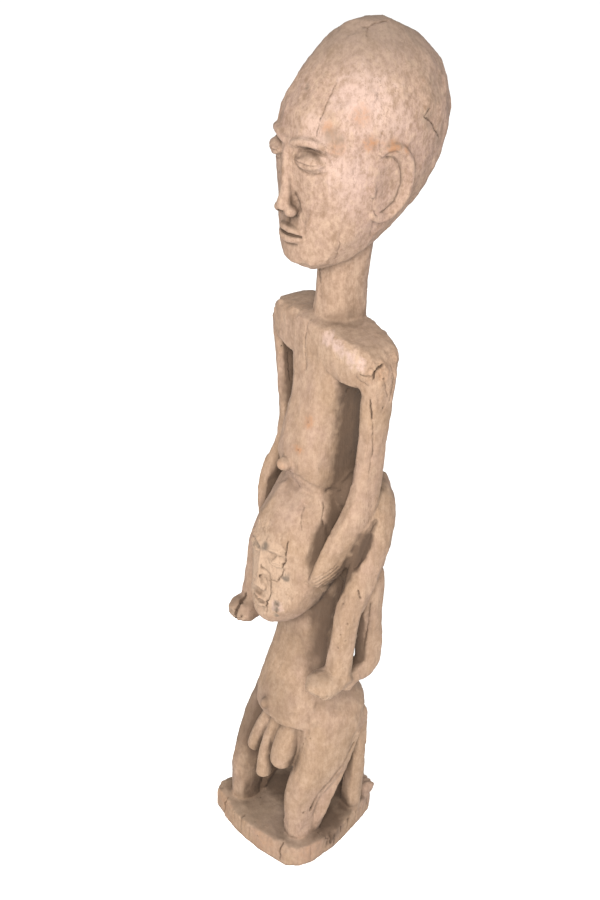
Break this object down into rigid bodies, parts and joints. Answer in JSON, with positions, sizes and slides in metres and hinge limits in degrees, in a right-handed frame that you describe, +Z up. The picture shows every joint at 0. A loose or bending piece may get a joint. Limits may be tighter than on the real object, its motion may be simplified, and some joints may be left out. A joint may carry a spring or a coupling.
{
  "type": "carved ancestor figure",
  "caption": "Tall carved wooden figure: a long-headed rider on the shoulders of a kneeling bearer, in one piece with a low base, worn and cracked.",
  "frame": {"origin": "on the flat underside of the base, under the middle of the figure", "axes": "+Z up, the figures face -Y, their left side is +X"},
  "size_m": [0.1997, 0.201, 0.9973],
  "materials": {
    "dry_wood": "dry, worn and matt"
  },
  "bodies": {
    "root": {"figure": "dry_wood"}
  },
  "joints": []
}
